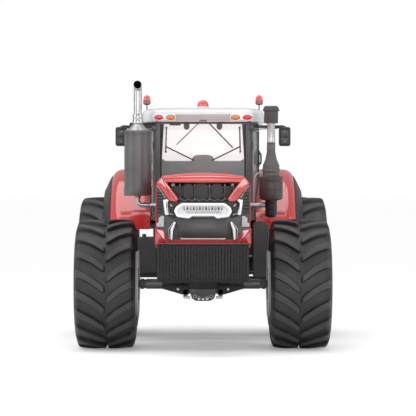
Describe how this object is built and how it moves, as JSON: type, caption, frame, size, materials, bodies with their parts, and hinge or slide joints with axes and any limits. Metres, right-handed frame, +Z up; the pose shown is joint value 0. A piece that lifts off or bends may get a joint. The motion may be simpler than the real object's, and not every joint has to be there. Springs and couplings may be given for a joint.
{
  "type": "tractor",
  "caption": "Large rigid-frame farm tractor with steered front axle, opening hood and doors, front weights, wide lugged tyres and rear three-point hitch.",
  "frame": {"origin": "on the ground, on the centre plane, midway between the front weights' face and the lower links' ends", "axes": "+Z up, -Y the tractor's front, +X its left side"},
  "size_m": [3.8, 6.2, 3.828],
  "materials": {
    "paint_red": "gloss",
    "paint_white": "gloss",
    "paint_silver": "satin",
    "paint_dark": "satin",
    "cast_dark": "matte",
    "tyre": "matte",
    "plastic_black": "matte",
    "lamp": "gloss",
    "amber": "gloss",
    "chrome": "polished",
    "glass": "gloss",
    "cloth": "matte",
    "steel": "satin"
  },
  "bodies": {
    "chassis": {"front_axle": "paint_silver", "front_frame": "cast_dark", "weight_carrier": "cast_dark", "front_weights": "cast_dark", "engine": "cast_dark", "cooling_pack": "paint_dark", "transmission": "cast_dark", "rear_axle": "cast_dark", "hitch_bracket": "cast_dark", "drawbar": "cast_dark", "fuel_tank_left": "plastic_black", "fuel_tank_right": "plastic_black", "steps": "paint_dark", "fender_left": "paint_red", "fender_right": "paint_red", "fender_flares": "plastic_black", "cab_tub": "paint_dark", "cab_frame": "paint_dark", "cab_glass": "glass", "roof": "paint_white", "roof_lamps": "amber", "beacons": "amber", "dash": "plastic_black", "steering_wheel": "plastic_black", "seat": "cloth", "mirrors": "plastic_black", "exhaust_can": "paint_dark", "exhaust_pipe": "chrome", "air_cleaner": "plastic_black", "intake_tube": "chrome", "cowl": "paint_red"},
    "hood": {"hood": "paint_red", "bumper": "paint_red", "grille": "plastic_black", "headlamps": "lamp"},
    "door_left": {"door_left": "paint_dark", "door_glass_left": "glass"},
    "door_right": {"door_right": "paint_dark", "door_glass_right": "glass"},
    "knuckle_left": {"knuckle_left": "paint_silver"},
    "knuckle_right": {"knuckle_right": "paint_silver"},
    "tie_rod": {"tie_rod": "steel"},
    "front_wheel_left": {"front_tyre_left": "tyre", "front_rim_left": "paint_silver"},
    "front_wheel_right": {"front_tyre_right": "tyre", "front_rim_right": "paint_silver"},
    "rear_wheel_left": {"rear_tyre_left": "tyre", "rear_rim_left": "paint_silver"},
    "rear_wheel_right": {"rear_tyre_right": "tyre", "rear_rim_right": "paint_silver"},
    "lift_arms": {"lift_arms": "cast_dark"},
    "lift_rods": {"lift_rods": "steel"},
    "lower_links": {"lower_links": "cast_dark"},
    "top_link": {"top_link": "steel"},
    "pto_shaft": {"pto_shaft": "steel"}
  },
  "joints": [
    {"name": "hood_hinge", "type": "hinge", "parent": "chassis", "child": "hood", "pos_m": [0, -0.357, 2.47], "axis": [-1, 0, 0], "range_deg": [0, 40]},
    {"name": "door_left_hinge", "type": "hinge", "parent": "chassis", "child": "door_left", "pos_m": [0.733, 0.215, 2.4], "axis": [0, 0, -1], "range_deg": [0, 70]},
    {"name": "door_right_hinge", "type": "hinge", "parent": "chassis", "child": "door_right", "pos_m": [-0.733, 0.215, 2.4], "axis": [0, 0, 1], "range_deg": [0, 70]},
    {"name": "steer_left", "type": "hinge", "parent": "chassis", "child": "knuckle_left", "pos_m": [0.985, -1.35, 0.91], "axis": [0, 0, 1], "range_deg": [-30, 30]},
    {"name": "steer_right", "type": "hinge", "parent": "chassis", "child": "knuckle_right", "pos_m": [-0.985, -1.35, 0.91], "axis": [0, 0, 1], "range_deg": [-30, 30]},
    {"name": "tie_rod_slide", "type": "slide", "parent": "chassis", "child": "tie_rod", "axis": [1, 0, 0], "range_m": [-0.125, 0.125]},
    {"name": "front_left_spin", "type": "hinge", "parent": "knuckle_left", "child": "front_wheel_left", "pos_m": [1.345, -1.35, 0.91], "axis": [1, 0, 0], "continuous": true},
    {"name": "front_right_spin", "type": "hinge", "parent": "knuckle_right", "child": "front_wheel_right", "pos_m": [-1.345, -1.35, 0.91], "axis": [1, 0, 0], "continuous": true},
    {"name": "rear_left_spin", "type": "hinge", "parent": "chassis", "child": "rear_wheel_left", "pos_m": [1.45, 1.85, 1.06], "axis": [1, 0, 0], "continuous": true},
    {"name": "rear_right_spin", "type": "hinge", "parent": "chassis", "child": "rear_wheel_right", "pos_m": [-1.45, 1.85, 1.06], "axis": [1, 0, 0], "continuous": true},
    {"name": "lift_arm_hinge", "type": "hinge", "parent": "chassis", "child": "lift_arms", "pos_m": [0, 1.96, 1.49], "axis": [1, 0, 0], "range_deg": [-28, 16]},
    {"name": "lift_rod_hinge", "type": "hinge", "parent": "lift_arms", "child": "lift_rods", "pos_m": [0, 2.52, 1.49], "axis": [1, 0, 0], "range_deg": [-18, 30]},
    {"name": "lower_link_hinge", "type": "hinge", "parent": "chassis", "child": "lower_links", "pos_m": [0, 1.98, 0.8], "axis": [1, 0, 0], "range_deg": [-31, 18]},
    {"name": "top_link_hinge", "type": "hinge", "parent": "chassis", "child": "top_link", "pos_m": [0, 2.26, 1.33], "axis": [1, 0, 0], "range_deg": [-75, 10]},
    {"name": "pto_spin", "type": "hinge", "parent": "chassis", "child": "pto_shaft", "pos_m": [0, 2.2, 0.9], "axis": [0, 1, 0], "continuous": true}
  ],
  "couplings": [
    {"joint": "steer_right", "follows": "steer_left", "ratio": 1},
    {"joint": "tie_rod_slide", "follows": "steer_left", "m_per_rad": -0.22918},
    {"joint": "lift_rod_hinge", "follows": "lift_arm_hinge", "ratio": -1},
    {"joint": "lower_link_hinge", "follows": "lift_arm_hinge", "ratio": 1.037}
  ]
}
